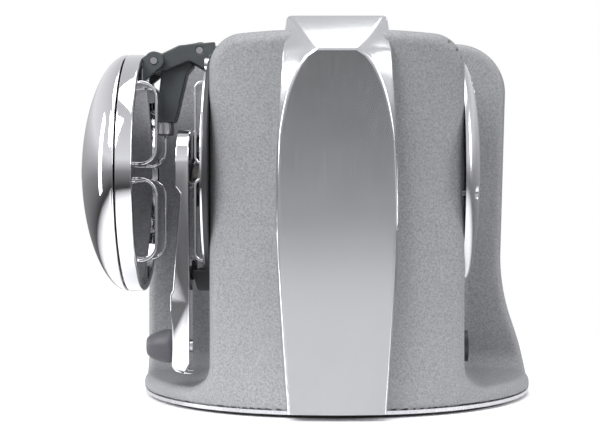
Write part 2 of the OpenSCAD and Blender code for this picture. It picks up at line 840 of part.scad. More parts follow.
module cutter_stud() {
    color([0.75, 0.75, 0.77]) {
        rod_x(cutter_x - 1.1, lever_back_x - cutter_x + 1.1, cutter_stud_d, 0, cutter_z);
        rod_x(cutter_x - 2.4, 1.4, cutter_stud_d + 4.5, 0, cutter_z);
    }
}

module cutter_wheel() {
    color([0.8, 0.8, 0.82])
    difference() {
        translate([cutter_x, 0, cutter_z]) rotate([0, 90, 0]) rotate_extrude($fn = fine)
            polygon([[0, 0], [cutter_d / 2 - 2, 0], [cutter_d / 2, cutter_t - 0.3],
                [cutter_d / 2, cutter_t], [0, cutter_t]]);
        rod_x(cutter_x - 2, 6, cutter_stud_d + 2 * running_fit, 0, cutter_z);
    }
}

// ---------------------------------------------------------------- magnet arm

// Arm seen along Y, from its pin on the bracket over and down to the magnet
module arm_profile() {
    tip = magnet_x;
    pin = [arm_pin_x, arm_pin_z];
    polygon([pin + [5, -6], pin + [6, 2], pin + [1, 5.5], pin + [-12, 3.5],
        [tip + 3, arm_pin_z - 1.5], [tip - 1, arm_pin_z - 4],
        [tip - 4.5, magnet_top_z + 6], [tip - 3.5, magnet_top_z],
        [tip + 6, magnet_top_z], [tip + 7, magnet_top_z + 3], [tip + 13, arm_pin_z - 13],
        [tip + 17, arm_pin_z - 8], pin + [-6, -5]]);
}

module magnet_arm() {
    color([0.2, 0.21, 0.22])
    difference() {
        union() {
            along_y(-arm_w / 2, arm_w) arm_profile();
            rod_y(-arm_w / 2, arm_w, 11, arm_pin_x, arm_pin_z);
        }
        rod_y(-40, 80, arm_pin_d + 2 * running_fit, arm_pin_x, arm_pin_z);
    }
}

module magnet_cup() {
    color([0.7, 0.71, 0.73])
    difference() {
        rod_z(magnet_top_z - 7, 7, magnet_d + 2, magnet_mid_x, 0);
        rod_z(magnet_top_z - 8, 1 + magnet_t, magnet_d, magnet_mid_x, 0);
    }
}

module lid_magnet() {
    color([0.25, 0.25, 0.27])
    rod_z(magnet_top_z - 7.6, magnet_t + 0.6, magnet_d, magnet_mid_x, 0);
}

// Fork on the housing that holds the arm's pin and the cover's hinge pin
module cover_bracket() {
    color([0.2, 0.21, 0.22])
    difference() {
        union() {
            for (y0 = [-fork_out_y, fork_out_y - fork_t]) {
                along_y(y0, fork_t) fork_profile();
                rod_y(y0, fork_t, 2 * ear_r, hinge_x, hinge_z, round_n * 2);
            }
            translate([front_x - flange_t, -flange_half_w, arm_pin_z - 14.5])
                cube([flange_t, 2 * flange_half_w, 11]);
        }
        rod_y(-60, 120, arm_pin_d, arm_pin_x, arm_pin_z);
        rod_y(-60, 120, cover_pin_d, hinge_x, hinge_z);
        bracket_screw_places() rod_x(front_x - 30, 40, screw_d);
    }
}

module fork_profile() {
    polygon([[front_x, arm_pin_z - 14.5], [front_x, arm_pin_z + 5],
        [arm_pin_x - 12, arm_pin_z + 3], [hinge_x + 4, hinge_z + 5],
        [hinge_x - 3, hinge_z + 3], [hinge_x, hinge_z - 6], [hinge_x + 7, hinge_z - 4.5],
        [arm_pin_x - 6, arm_pin_z - 6]]);
}

module bracket_screws() {
    color([0.6, 0.6, 0.62])
    bracket_screw_places() {
        rod_x(front_x - flange_t, cast_wall + flange_t + 1, screw_d, 0, 0, round_n);
        rod_x(front_x - flange_t - screw_head_t, screw_head_t, screw_head_d, 0, 0, round_n);
    }
}

module hinge_pins() {
    color([0.75, 0.75, 0.77]) {
        for (y0 = [-fork_out_y - 7, fork_out_y - fork_t])
            rod_y(y0, fork_t + 7, cover_pin_d, hinge_x, hinge_z);
        rod_y(-fork_out_y, 2 * fork_out_y, arm_pin_d, arm_pin_x, arm_pin_z);
    }
}

// --------------------------------------------------------------- flip cover

module cover_hinge() {
    side = fork_out_y + part_gap;
    lug_t = 6;
    color([0.1, 0.1, 0.11])
    difference() {
        for (y0 = [-side - lug_t, side]) {
            rod_y(y0, lug_t, 2 * ear_r - 1, hinge_x, hinge_z, round_n * 2);
            along_y(y0, lug_t)
                polygon([[hinge_x - 1, hinge_z + 5.4], [cover_back_x, hinge_z + 2],
                    [cover_back_x, hinge_z - 12], [hinge_x + 2, hinge_z - 5.2]]);
        }
        rod_y(-60, 120, cover_pin_d + 2 * running_fit, hinge_x, hinge_z);
    }
}

module cover_dome() {
    rim_x = cover_seam_x - part_gap;
    color([0.85, 0.86, 0.88])
    translate([0, 0, cover_z]) difference() {
        domed_cap(rim_x, cover_r, cover_dome_h, -1, cover_fullness);
        translate([0.02, 0, 0])
            domed_cap(rim_x, cover_r - cover_skin, cover_dome_h - cover_skin, -1, cover_fullness);
    }
}

module cover_ring() {
    color([0.85, 0.86, 0.88])
    difference() {
        rod_x(cover_seam_x, cover_ring_t, 2 * cover_r, 0, cover_z);
        rod_x(cover_seam_x - 1, cover_ring_t + 2, 2 * cover_r - 8, 0, cover_z);
    }
}

module cover_plate() {
    plate_front = cover_back_x - 5;
    color([0.8, 0.81, 0.83]) {
        rod_x(plate_front, 2.5, 2 * cover_r - 8.1, 0, cover_z);
        intersection() {
            scoops(plate_front + 2.4, cover_back_x + scoop_reach, 10);
            rod_x(plate_front, 20, 2 * cover_r - 9, 0, cover_z);
        }
    }
}

module cover_badge() {
    rim_x = cover_seam_x - part_gap;
    color([0.75, 0.76, 0.78])
    translate([0, 0, cover_z]) intersection() {
        difference() {
            domed_cap(rim_x - badge_t, cover_r, cover_dome_h, -1, cover_fullness);
            domed_cap(rim_x, cover_r, cover_dome_h, -1, cover_fullness);
        }
        rod_x(rim_x - cover_dome_h - 5, cover_dome_h, 2 * badge_r, 0, 0);
    }
}

// ------------------------------------------------------------------ rear cap

module rear_cap() {
    x0 = -front_x;
    color([0.8, 0.81, 0.83])
    translate([0, 0, cover_z]) difference() {
        union() {
            domed_cap(x0, cap_r, cap_dome_h, 1, cap_fullness);
            rod_x(x0 - cast_wall, cast_wall + 0.1, 2 * cap_opening_r - 0.2);
        }
        translate([-0.1, 0, 0]) domed_cap(x0, cap_r - 3, cap_dome_h - 3, 1, cap_fullness);
        rod_x(x0 - cast_wall - 1, cast_wall + 2, 2 * cap_opening_r - 6);
        translate([0, 0, -cover_z]) cap_screw_places() {
            rod_x(x0 - 10, 40, cap_screw_d);
            rod_x(x0 + cap_screw_seat, 40, cap_recess_d);
        }
    }
}

module rear_cap_screws() {
    x0 = -front_x;
    color([0.3, 0.3, 0.32])
    cap_screw_places() {
        rod_x(x0 - cast_wall, cast_wall + cap_screw_seat + 0.1, cap_screw_d, 0, 0, round_n);
        rod_x(x0 + cap_screw_seat, 1.6, cap_recess_d - 1.5, 0, 0, round_n);
    }
}

// ---------------------------------------------------------------- assembly

stand_casting();
housing_shell();
centre_band();
base_cover();
non_slip_pad();
base_screws();
front_shroud();
front_bezel();
shaft_bushings();
gear_plate();
tie_rods();
idler_axle();
motor_stator();
motor_coil();
motor_front_bracket();
motor_rear_bracket();
cord_gland();
terminal_block();
switch_body();
cover_bracket();
hinge_pins();
lever_pivot_stud();
rear_cap();
rear_cap_screws();
bracket_screws();
drive_shaft();
drive_wheel();
drive_gear();
shaft_clip();
idler_gear();
motor_rotor();
cooling_fan();
lever();
lever_knob();
knob_screw();
cutter_stud();
cutter_wheel();
magnet_arm();
magnet_cup();
lid_magnet();
cover_dome();
cover_ring();
cover_plate();
cover_badge();
cover_hinge();
switch_plunger();
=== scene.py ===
import json
from math import cos, pi, radians, sin

import bmesh
import bpy
import numpy as np
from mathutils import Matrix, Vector


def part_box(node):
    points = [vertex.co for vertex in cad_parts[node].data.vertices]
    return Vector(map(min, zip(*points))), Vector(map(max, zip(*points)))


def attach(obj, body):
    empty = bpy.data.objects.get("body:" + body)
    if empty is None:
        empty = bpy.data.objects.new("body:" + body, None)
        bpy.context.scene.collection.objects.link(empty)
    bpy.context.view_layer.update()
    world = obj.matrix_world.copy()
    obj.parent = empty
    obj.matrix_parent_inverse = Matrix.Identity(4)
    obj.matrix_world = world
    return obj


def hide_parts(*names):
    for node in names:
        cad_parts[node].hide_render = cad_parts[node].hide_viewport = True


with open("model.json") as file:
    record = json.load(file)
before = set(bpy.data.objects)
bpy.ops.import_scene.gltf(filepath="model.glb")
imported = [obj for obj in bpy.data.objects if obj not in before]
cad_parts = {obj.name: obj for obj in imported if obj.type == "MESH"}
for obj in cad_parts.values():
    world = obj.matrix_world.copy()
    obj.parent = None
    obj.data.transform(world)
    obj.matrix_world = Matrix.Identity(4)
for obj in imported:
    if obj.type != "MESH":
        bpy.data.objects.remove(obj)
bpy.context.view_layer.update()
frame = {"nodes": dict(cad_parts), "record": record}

bl_info = {
    "name": "Electric can opener",
    "version": (1, 0, 0),
    "blender": (4, 5, 0),
    "location": "3D View > Sidebar > Can opener",
    "description": "Builds the finished surfaces of an electric can opener around its mechanism",
    "category": "Object",
}

BODY_OF = {node: body for body, nodes in frame["record"]["behaviour"]["bodies"].items() for node in nodes}
SLOT_OF = {row["node"]: row["material_slot"] for row in frame["record"]["subparts"]}
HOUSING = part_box("housing_shell")
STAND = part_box("stand_casting")
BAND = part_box("centre_band")
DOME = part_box("cover_dome")
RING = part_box("cover_ring")
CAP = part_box("rear_cap")


# ------------------------------------------------------------------ settings

def length(name, description, default, **limits):
    return bpy.props.FloatProperty(name=name, description=description, default=default,
                                   subtype="DISTANCE", unit="LENGTH", min=0.0, **limits)


def colour(name, description, default):
    return bpy.props.FloatVectorProperty(name=name, description=description, default=default,
                                         subtype="COLOR", size=3, min=0.0, max=1.0)


class CastingSizes(bpy.types.PropertyGroup):
    edge: length("Edge radius", "Radius of the outer edges round the two open bays", 0.0048)
    fillet: length("Bay fillet", "Radius of the hollow where a flank meets the platform", 0.013)
    shoulder: length("Shoulder radius", "Radius of the housing's upper corners", 0.017)
    wall: length("Wall", "Thickness of the cast walls", 0.004)
    lean: length("Face lean", "How far the free face leans out at its top and foot", 0.004)
    flare: length("Foot flare", "How much further the face comes out at the foot", 0.0125)
    flare_height: length("Flare height", "Height at which the foot's flare ends", 0.075)
    fullness: bpy.props.FloatProperty(name="Plan fullness", default=2.6, min=2.0, max=4.0,
                                      description="Power of the block's outline: 2 is an ellipse")
    foot_fullness: bpy.props.FloatProperty(name="Foot fullness", default=2.06, min=2.0, max=4.0,
                                           description="The same power at the platform's foot")
    cell: length("Grid", "Size of the grid that the surface is worked out on", 0.0021)


class BandSizes(bpy.types.PropertyGroup):
    barrel: length("Barrel", "Extra half width at mid height", 0.0056)
    waist: length("Waist", "Distance from the housing's free face at the waist", 0.009)
    brow: length("Brow", "How far the face comes forward below its top", 0.007)
    facet_top: length("Facet top", "Half width of the hollow face at its upper end", 0.0103)
    facet_drop: length("Facet drop", "How far the side facets fall back beside the upper end", 0.011)
    crease: length("Crease radius", "Radius of the ridges between the facets", 0.0011)


class CoverSizes(bpy.types.PropertyGroup):
    roundness: bpy.props.FloatProperty(name="Dome fullness", default=1.85, min=1.2, max=4.0,
                                       description="Power of the dome's curve: 2 is an ellipse")
    seam: length("Seam", "Width of the groove between dome and ring", 0.0006)
    badge: length("Badge radius", "Radius of the plain badge on the dome", 0.013)


class Finishes(bpy.types.PropertyGroup):
    casting: colour("Casting", "Textured silver paint", (0.235, 0.238, 0.246))
    band: colour("Band", "Satin silver of the centre band", (0.62, 0.625, 0.64))
    chrome: colour("Chrome", "Polished plating", (0.80, 0.80, 0.82))
    moulding: colour("Moulding", "Charcoal plastic of the arm", (0.040, 0.046, 0.048))
    knob: colour("Knob", "Soft black of the knob", (0.055, 0.055, 0.064))
    grain: length("Grain size", "Size of the casting's sand texture", 0.0007)


class Studio(bpy.types.PropertyGroup):
    distance: length("Camera distance", "From the drive axis to the camera", 0.938)
    height: length("Camera height", "Height of the level camera", 0.108)
    lens: bpy.props.FloatProperty(name="Lens", description="Focal length on a 36 mm wide sensor",
                                  default=95.4, min=20.0, max=300.0, unit="CAMERA")
    offset: bpy.props.FloatProperty(name="Framing", description="Sideways shift of the picture",
                                    default=-0.0617, min=-0.2, max=0.2)
    sky: bpy.props.FloatProperty(name="Room light", description="Strength of the plain surroundings",
                                 default=0.9, min=0.0, max=4.0)


# ------------------------------------------------------------- shader graphs

class Value:
    """A socket of a shader graph that takes part in Python expressions."""

    def __init__(self, graph, socket):
        self.graph = graph
        self.socket = socket

    def maths(self, operation, first, second):
        return self.graph.node("ShaderNodeMath", {"operation": operation}, {0: first, 1: second})

    def __add__(self, other):
        return self.maths("ADD", self, other)

    def __mul__(self, other):
        return self.maths("MULTIPLY", self, other)


class Graph:
    """One material, built from nodes; its surface is a single Principled shader."""

    def __init__(self, name, **constants):
        # the frame brings a plain material for each slot, which would keep the name
        carried = bpy.data.materials.get(name)
        if carried:
            carried.name = name + "_plain"
        self.material = bpy.data.materials.new(name)
        self.material.use_nodes = True
        self.tree = self.material.node_tree
        self.tree.nodes.clear()
        self.surface = self.tree.nodes.new("ShaderNodeBsdfPrincipled")
        out = self.tree.nodes.new("ShaderNodeOutputMaterial")
        self.tree.links.new(self.surface.outputs[0], out.inputs[0])
        for socket, value in constants.items():
            self.set(socket.replace("_", " "), value)

    def feed(self, socket, value):
        if isinstance(value, Value):
            self.tree.links.new(value.socket, socket)
        else:
            socket.default_value = value

    def set(self, socket, value):
        if isinstance(value, tuple) and len(value) == 3:
            value = (*value, 1.0)
        self.feed(self.surface.inputs[socket], value)

    def node(self, kind, settings=None, inputs=None, output=0):
        made = self.tree.nodes.new(kind)
        for key, value in (settings or {}).items():
            if key == "stops":
                for i, (place, shade) in enumerate(value):
                    stop = made.color_ramp.elements
                    item = stop[i] if i < len(stop) else stop.new(place)
                    item.position = place
                    item.color = shade
            else:
                setattr(made, key, value)
        for key, value in (inputs or {}).items():
            self.feed(made.inputs[key], value)
        return Value(self, made.outputs[output])

    def place(self, stretch=(1.0, 1.0, 1.0)):
        spot = self.node("ShaderNodeTexCoord", output="Object")
        return self.node("ShaderNodeMapping", None, {"Vector": spot, "Scale": stretch})

    def noise(self, size, detail=2.0, roughness=0.5, stretch=(1.0, 1.0, 1.0)):
        return self.node("ShaderNodeTexNoise", None,
                         {"Vector": self.place(stretch), "Scale": 1.0 / size, "Detail": detail,
                          "Roughness": roughness})

    def remap(self, value, low, high, to_low, to_high):
        return self.node("ShaderNodeMapRange", None,
                         {"Value": value, "From Min": low, "From Max": high,
                          "To Min": to_low, "To Max": to_high})

    def mix(self, factor, first, second):
        return self.node("ShaderNodeMix", {"data_type": "RGBA"},
                         {0: factor, 6: (*first, 1.0) if isinstance(first, tuple) else first,
                          7: (*second, 1.0) if isinstance(second, tuple) else second}, output=2)

    def bump(self, height, depth, strength):
        return self.node("ShaderNodeBump", None,
                         {"Height": height, "Distance": depth, "Strength": strength})

    def painted_edge_highlight(self, soft=0.012):
        """1 on outward edges, 0 elsewhere: the mask for a painted edge highlight."""
        pointed = self.node("ShaderNodeNewGeometry", output="Pointiness")
        return self.remap(pointed, 0.5 + soft, 0.5 + 4 * soft, 0.0, 1.0)


def tint(colour_value, factor):
    return tuple(min(1.0, c * factor) for c in colour_value)


# ------------------------------------------------------------------ finishes

def cast_paint(name, base, grain):
    """Fine sand texture under silver paint, with bright flakes, duller hollows and a painted highlight on
    outward edges.
    """
    g = Graph(name, Metallic=0.15)
    coarse = g.noise(grain * 1.5, detail=2.0, roughness=0.6)
    fine = g.noise(grain * 0.7, detail=2.0)
    broad = g.noise(0.06, detail=2.0)
    height = coarse * 0.65 + fine * 0.35
    shade = g.mix(g.remap(height, 0.36, 0.64, 0.0, 1.0), tint(base, 0.74), tint(base, 1.24))
    shade = g.mix(g.remap(fine, 0.60, 0.74, 0.0, 0.4), shade, tint(base, 1.6))
    shade = g.mix(g.remap(broad, 0.35, 0.65, 0.0, 0.10), shade, tint(base, 0.86))
    # painted highlight: outward edges lightened towards 1.3 times the base colour
    shade = g.mix(g.painted_edge_highlight() * 0.25, shade, tint(base, 1.3))
    g.set("Base Color", shade)
    g.set("Roughness", g.remap(height, 0.3, 0.65, 0.72, 0.58))
    g.set("Normal", g.bump(height, 0.0005, 0.6))


def satin_metal(name, base, grain):
    """Smooth satin silver with a hair-fine vertical grain."""
    g = Graph(name, Metallic=0.9, Coat_Weight=0.1, Coat_Roughness=0.12)
    brushed = g.noise(0.0012, detail=3.0, stretch=(1.0, 1.0, 0.06))
    haze = g.noise(0.03, detail=2.0)
    g.set("Base Color", g.mix(brushed * 0.5 + haze * 0.3, tint(base, 0.93), tint(base, 1.05)))
    g.set("Roughness", g.remap(brushed * 0.6 + haze * 0.4, 0.3, 0.7, 0.19, 0.25))
    g.set("Normal", g.bump(g.noise(0.0009, detail=2.0), grain * 0.03, 0.25))


def chrome(name, base, rough=0.045):
    """Polished plating with faint wipe marks."""
    g = Graph(name, Metallic=1.0)
    wipes = g.noise(0.004, detail=4.0, roughness=0.6, stretch=(1.0, 0.25, 1.0))
    smudge = g.noise(0.02, detail=2.0)
    g.set("Base Color", g.mix(smudge, tint(base, 0.97), tint(base, 1.02)))
    g.set("Roughness", g.remap(wipes * 0.5 + smudge * 0.5, 0.35, 0.65, rough * 0.7, rough * 1.6))
    g.set("Normal", g.bump(smudge, 0.00004, 0.3))


def worked_steel(name, base, rough, stretch=(1.0, 1.0, 0.05)):
    """Plated or ground steel with drawn lines."""
    g = Graph(name, Metallic=1.0)
    lines = g.noise(0.0008, detail=3.0, stretch=stretch)
    cloud = g.noise(0.008, detail=2.0)
    g.set("Base Color", g.mix(lines * 0.6 + cloud * 0.4, tint(base, 0.82), tint(base, 1.12)))
    g.set("Roughness", g.remap(lines, 0.3, 0.7, rough * 0.8, rough * 1.25))
    g.set("Normal", g.bump(lines, 0.00003, 0.4))


def moulded(name, base, rough, grain=0.0005, depth=0.00006):
    """Moulded plastic with a fine spark-eroded grain and a painted highlight on outward edges."""
    g = Graph(name, IOR=1.5)
    skin = g.noise(grain, detail=2.0)
    cloud = g.noise(0.015, detail=2.0)
    shade = g.mix(cloud, tint(base, 0.88), tint(base, 1.14))
    # painted highlight: outward edges lightened towards twice the base colour
    g.set("Base Color", g.mix(g.painted_edge_highlight() * 0.3, shade, tint(base, 2.0)))
    g.set("Roughness", g.remap(skin * 0.6 + cloud * 0.4, 0.35, 0.65, rough * 0.9, rough * 1.12))
    g.set("Normal", g.bump(skin, depth, 0.5))


def wound_wire(name, base):
    """Turns of enamelled wire, side by side."""
    g = Graph(name, Metallic=0.8, Coat_Weight=0.6, Coat_Roughness=0.1)
    turns = g.node("ShaderNodeTexWave", {"bands_direction": "Y"},
                   {"Vector": g.place(), "Scale": 320.0, "Distortion": 0.4})
    g.set("Base Color", g.mix(turns, tint(base, 0.45), tint(base, 1.25)))
    g.set("Roughness", g.remap(turns, 0.0, 1.0, 0.45, 0.25))
    g.set("Normal", g.bump(turns, 0.0003, 0.8))


def laminated_steel(name, base):
    """Thin sheets stacked along the motor's axis."""
    g = Graph(name, Metallic=0.9)
    sheets = g.node("ShaderNodeTexWave", {"bands_direction": "X"},
                    {"Vector": g.place(), "Scale": 500.0})
    g.set("Base Color", g.mix(sheets, tint(base, 0.6), tint(base, 1.2)))
    g.set("Roughness", g.remap(sheets, 0.0, 1.0, 0.6, 0.4))
    g.set("Normal", g.bump(sheets, 0.0001, 0.5))


def build_finishes(looks):
    """Makes one material for each slot of the record."""
    cast_paint("textured_casting", tuple(looks.casting), looks.grain)
    satin_metal("satin_silver", tuple(looks.band), looks.grain)
    chrome("polished_chrome", tuple(looks.chrome))
    worked_steel("brushed_badge", (0.62, 0.63, 0.66), 0.25)
    moulded("black_plastic", (0.018, 0.018, 0.020), 0.42)
    moulded("arm_plastic", tuple(looks.moulding), 0.40)
    moulded("knob_plastic", tuple(looks.knob), 0.48, 0.0008, 0.0001)
    moulded("pad_rubber", (0.03, 0.03, 0.03), 0.75, 0.0012, 0.0002)
    worked_steel("zinc_steel", (0.58, 0.58, 0.60), 0.30)
    worked_steel("hard_steel", (0.52, 0.52, 0.55), 0.18)
    worked_steel("dark_steel", (0.13, 0.13, 0.14), 0.32)
    laminated_steel("motor_steel", (0.27, 0.27, 0.29))
    wound_wire("copper_wire", (0.55, 0.22, 0.09))
    worked_steel("bronze", (0.36, 0.31, 0.25), 0.45)
    moulded("nylon", (0.78, 0.76, 0.68), 0.45)
    moulded("red_plastic", (0.50, 0.05, 0.03), 0.30)


# ----------------------------------------------------------------- mesh tools

def crisp(mesh, angle=35.0):
    mesh.shade_smooth()
    mesh.set_sharp_from_angle(angle=radians(angle))


def place_piece(name, mesh, node, *others):
    """Adds a piece that stands for CAD nodes, with the first one's body and slot."""
    piece = bpy.data.objects.new(name, mesh)
    bpy.context.scene.collection.objects.link(piece)
    mesh.materials.clear()
    mesh.materials.append(bpy.data.materials[SLOT_OF[node]])
    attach(piece, BODY_OF[node])
    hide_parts(node, *others)
    return piece


def loft(name, loops, closed_ends=True, ring=False):
    """Skins a row of equally long point loops; ring joins the last loop to the first."""
    bm = bmesh.new()
    rows = [[bm.verts.new(p) for p in loop] for loop in loops]
    pairs = list(zip(rows, rows[1:])) + ([(rows[-1], rows[0])] if ring else [])
    for low, high in pairs:
        for i in range(len(low)):
            j = (i + 1) % len(low)
            bm.faces.new((low[i], low[j], high[j], high[i]))
    if closed_ends and not ring:
        bm.faces.new(rows[0][::-1])
        bm.faces.new(rows[-1])
    bmesh.ops.remove_doubles(bm, verts=bm.verts, dist=1e-7)
    bmesh.ops.recalc_face_normals(bm, faces=bm.faces)
    mesh = bpy.data.meshes.new(name)
    bm.to_mesh(mesh)
    bm.free()
    crisp(mesh)
    return mesh


def circle(x, radius, centre, turns=128):
    """Points round an axis that runs along X through centre (y, z)."""
    return [Vector((x, centre[0] + radius * cos(2 * pi * i / turns),
                    centre[1] + radius * sin(2 * pi * i / turns))) for i in range(turns)]


def lathe(name, profile, centre, ring=False, turns=128):
    return loft(name, [circle(x, max(r, 1e-5), centre, turns) for x, r in profile],
                closed_ends=not ring, ring=ring)


def corner(x, r, width, start, end, steps=4):
    """A rounded corner of a profile: (x, radius) points on an arc round (x, r)."""
    return [(x + width * cos(radians(start + (end - start) * i / steps)),
             r + width * sin(radians(start + (end - start) * i / steps))) for i in range(steps + 1)]


def softened(node, width, segments=2, angle=32.0):
    """A copy of a CAD node's shape with its sharp edges rounded over."""
    mesh = frame["nodes"][node].data.copy()
    mesh.name = node + "_finished"
    bm = bmesh.new()
    bm.from_mesh(mesh)
    bmesh.ops.remove_doubles(bm, verts=bm.verts, dist=2e-6)
    bmesh.ops.dissolve_limit(bm, angle_limit=radians(0.6), verts=bm.verts, edges=bm.edges)
    bmesh.ops.recalc_face_normals(bm, faces=bm.faces)
    bm.to_mesh(mesh)
    bm.free()
    crisp(mesh, angle)
    piece = place_piece(node + "_finished", mesh, node)
    bevel = piece.modifiers.new("edges", "BEVEL")
    bevel.width = width
    bevel.segments = segments
    bevel.limit_method = "ANGLE"
    bevel.angle_limit = radians(angle)
    bevel.use_clamp_overlap = False
    bevel.harden_normals = True
    return piece


# ------------------------------------------------------------------- casting

def rounded_max(a, b, radius):
    """Distance to what two solids share, with the edge between them rounded."""
    inner = np.minimum(np.maximum(a, b) + radius, 0.0)
    return inner + np.hypot(np.maximum(a + radius, 0.0), np.maximum(b + radius, 0.0)) - radius


def rounded_min(a, b, radius):
    """Distance to two solids together, with the hollow between them filled to a radius."""
    return -rounded_max(-a, -b, radius)


class Casting:
    """The cast body as a distance field: a half-oval block with two open bays and a wall."""

    BROW_CORNER = 0.031
    HEAD_CORNER = 0.008
    FOOT_CORNER = 0.010
    ROOM_CORNER = 0.012
    SHAFT_HOLE = 0.015
    CAP_HOLE = 0.045

    def __init__(self, sizes):
        self.sizes = sizes
        low, high = STAND
        house_low, house_high = HOUSING
        self.base = (low.z, house_low.z)
        self.wall_back = high.y
        self.wall_front = house_high.y
        self.centre_y = self.wall_front + 0.004
        self.half_x = high.x
        self.depth = self.centre_y - house_low.y - sizes.lean
        self.flank = house_high.x
        self.top = house_high.z
        self.wall_top = high.z
        self.head = low.x
        self.rear = high.x - 0.0165
        self.flare_r = 0.122
        self.flare_z = 0.083
        self.axis_z = (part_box("drive_shaft")[0].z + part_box("drive_shaft")[1].z) / 2
        self.cap_z = (CAP[0].z + CAP[1].z) / 2

    def plan(self, z):
        """Depth and power of the block's outline at height z."""
        s = self.sizes
        foot = np.clip(1 - z / s.flare_height, 0.0, 1.0) ** 2
        depth = self.depth + s.lean * (2 * z / self.top - 1) ** 2 + s.flare * foot
        return depth, s.fullness + (s.foot_fullness - s.fullness) * foot ** 0.5

    def oval(self, x, y, z):
        depth, power = self.plan(z)
        along = np.maximum((self.centre_y - y) / depth, 0.0)
        across = np.abs(x) / self.half_x
        size = np.maximum(along ** power + across ** power, 1e-6) ** (1 / power)
        slope = np.hypot(along ** (power - 1) / depth, across ** (power - 1) / self.half_x)
        slope = slope / size ** (power - 1)
        return (size - 1.0) / np.maximum(slope, 0.7 / self.depth)

    def face_y(self, x, z):
        """Where the free face lies at x and height z."""
        depth, power = self.plan(z)
        return self.centre_y - depth * (1 - (abs(x) / self.half_x) ** power) ** (1 / power)

    def wall_outline(self, x, z):
        upper = np.clip((z - self.flare_z) / 0.104, 0.0, 1.0)
        rear = np.where(z > self.flare_z, x - self.rear - 0.003 * upper,
                        self.flare_r - np.hypot(x - self.rear - self.flare_r, z - self.flare_z))
        rear = rounded_max(rear, x - self.half_x, self.FOOT_CORNER)
        rise = np.clip((z - 0.059) / 0.149, 0.0, 1.0)
        head = self.head + 0.010 * rise - x
        brow = z - self.wall_top + 0.003 * np.clip((0.076 - x) / 0.18, 0.0, 1.0)
        return rounded_max(rounded_max(rear, brow, self.BROW_CORNER), head, self.HEAD_CORNER)

    def outside(self, x, y, z):
        s = self.sizes
        crown = self.top - 0.003 * (x / self.flank) ** 2
        house = rounded_max(np.abs(x) - self.flank, z - crown, s.shoulder)
        bays = rounded_min(house, z - self.base[1], s.fillet)
        bays = rounded_min(bays, self.wall_front - y, s.fillet)
        rise = np.clip((z - self.top + 0.030) / 0.030, 0.0, 1.0)
        edge = s.edge + 0.004 * rise * rise * (y < self.wall_front - 0.03)
        block = rounded_max(bays, self.oval(x, y, z), edge)
        block = rounded_max(block, self.wall_outline(x, z), s.edge)
        return rounded_max(block, y - self.wall_back, s.edge)

    def hollow(self, x, y, z):
        s = self.sizes
        house = rounded_max(np.abs(x) - self.flank + s.wall, z - self.top + s.wall + 0.003,
                            self.ROOM_CORNER)
        room = np.maximum(house, self.oval(x, y, z) + s.wall)
        room = np.maximum(room, y - self.wall_front + s.wall)
        room = np.maximum(room, self.base[1] + 0.001 - z)
        shaft = np.maximum(np.hypot(y, z - self.axis_z) - self.SHAFT_HOLE,
                           np.maximum(x, -x - self.flank - 0.02))
        cap = np.hypot(y, z - self.cap_z) - self.CAP_HOLE
        cap = np.maximum(cap, np.maximum(-x, x - self.flank - 0.02))
        return np.minimum(room, np.minimum(shaft, cap))

    def distance(self, points):
        x, y, z = points[..., 0], points[..., 1], points[..., 2]
        solid = np.maximum(self.outside(x, y, z), self.base[0] - z)
        return np.maximum(solid, -self.hollow(x, y, z))


def surface_net(distance, low, high, cell, polish=4):
    """Turns a distance field into quads: one vertex for each grid cell that the surface crosses."""
    axes = [np.arange(a, b + cell, cell) for a, b in zip(low, high)]
    grid = np.stack(np.meshgrid(*axes, indexing="ij"), axis=-1)
    field = distance(grid)
    inside = field < 0.0
    shape = np.array(field.shape) - 1
    total = np.zeros(shape, int)
    centre = np.zeros((*shape, 3))
    weight = np.zeros(shape)
    block = tuple(slice(0, n) for n in shape)

    def shifted(array, offset):
        return array[tuple(slice(o, o + n) for o, n in zip(offset, shape))]

    corners = [(i, j, k) for i in (0, 1) for j in (0, 1) for k in (0, 1)]
    for offset in corners:
        total += shifted(inside, offset)
    for start in corners:
        for axis in range(3):
            if start[axis]:
                continue
            end = list(start)
            end[axis] = 1
            a, b = shifted(field, start), shifted(field, end)
            cross = (a < 0) != (b < 0)
            t = np.where(cross, a / np.where(cross, a - b, 1.0), 0.0)
            spot = np.array(start, float) + np.zeros((*shape, 3))
            spot[..., axis] += t
            centre += spot * cross[..., None]
            weight += cross
    used = (total > 0) & (total < 8)
    index = np.full(shape, -1)
    index[used] = np.arange(used.sum())
    cells = np.argwhere(used)
    points = np.array(low) + (cells + centre[used] / weight[used][:, None]) * cell
    step = 0.00002
    for _ in range(polish):
        value = distance(points)
        slope = np.stack([(distance(points + step * e) - distance(points - step * e)) / (2 * step)
                          for e in np.eye(3)], axis=-1)
        size = np.maximum((slope ** 2).sum(-1), 0.25)
        move = -(value / size)[:, None] * slope
        points = points + np.clip(move, -cell / 2, cell / 2)
    faces = []
    for axis in range(3):
        other = [a for a in range(3) if a != axis]
        first = [slice(None)] * 3
        second = [slice(None)] * 3
        first[axis] = slice(0, -1)
        second[axis] = slice(1, None)
        change = inside[tuple(first)] != inside[tuple(second)]
        places = np.argwhere(change)
        keep = np.all([(places[:, a] > 0) & (places[:, a] < shape[a]) for a in other], axis=0)
        places = places[keep]
        quad = []
        for da, db in ((1, 1), (0, 1), (0, 0), (1, 0)):
            spot = places.copy()
            spot[:, other[0]] -= da
            spot[:, other[1]] -= db
            quad.append(index[tuple(spot.T)])
        quad = np.stack(quad, axis=-1)
        flip = inside[tuple(places.T)] ^ (axis == 1)
        quad[~flip] = quad[~flip][:, ::-1]
        faces.append(quad)
    return points, np.concatenate(faces)


def mesh_from_arrays(name, points, faces):
    mesh = bpy.data.meshes.new(name)
    mesh.from_pydata(points.tolist(), [], faces.tolist())
    mesh.validate()
    mesh.update()
    return mesh


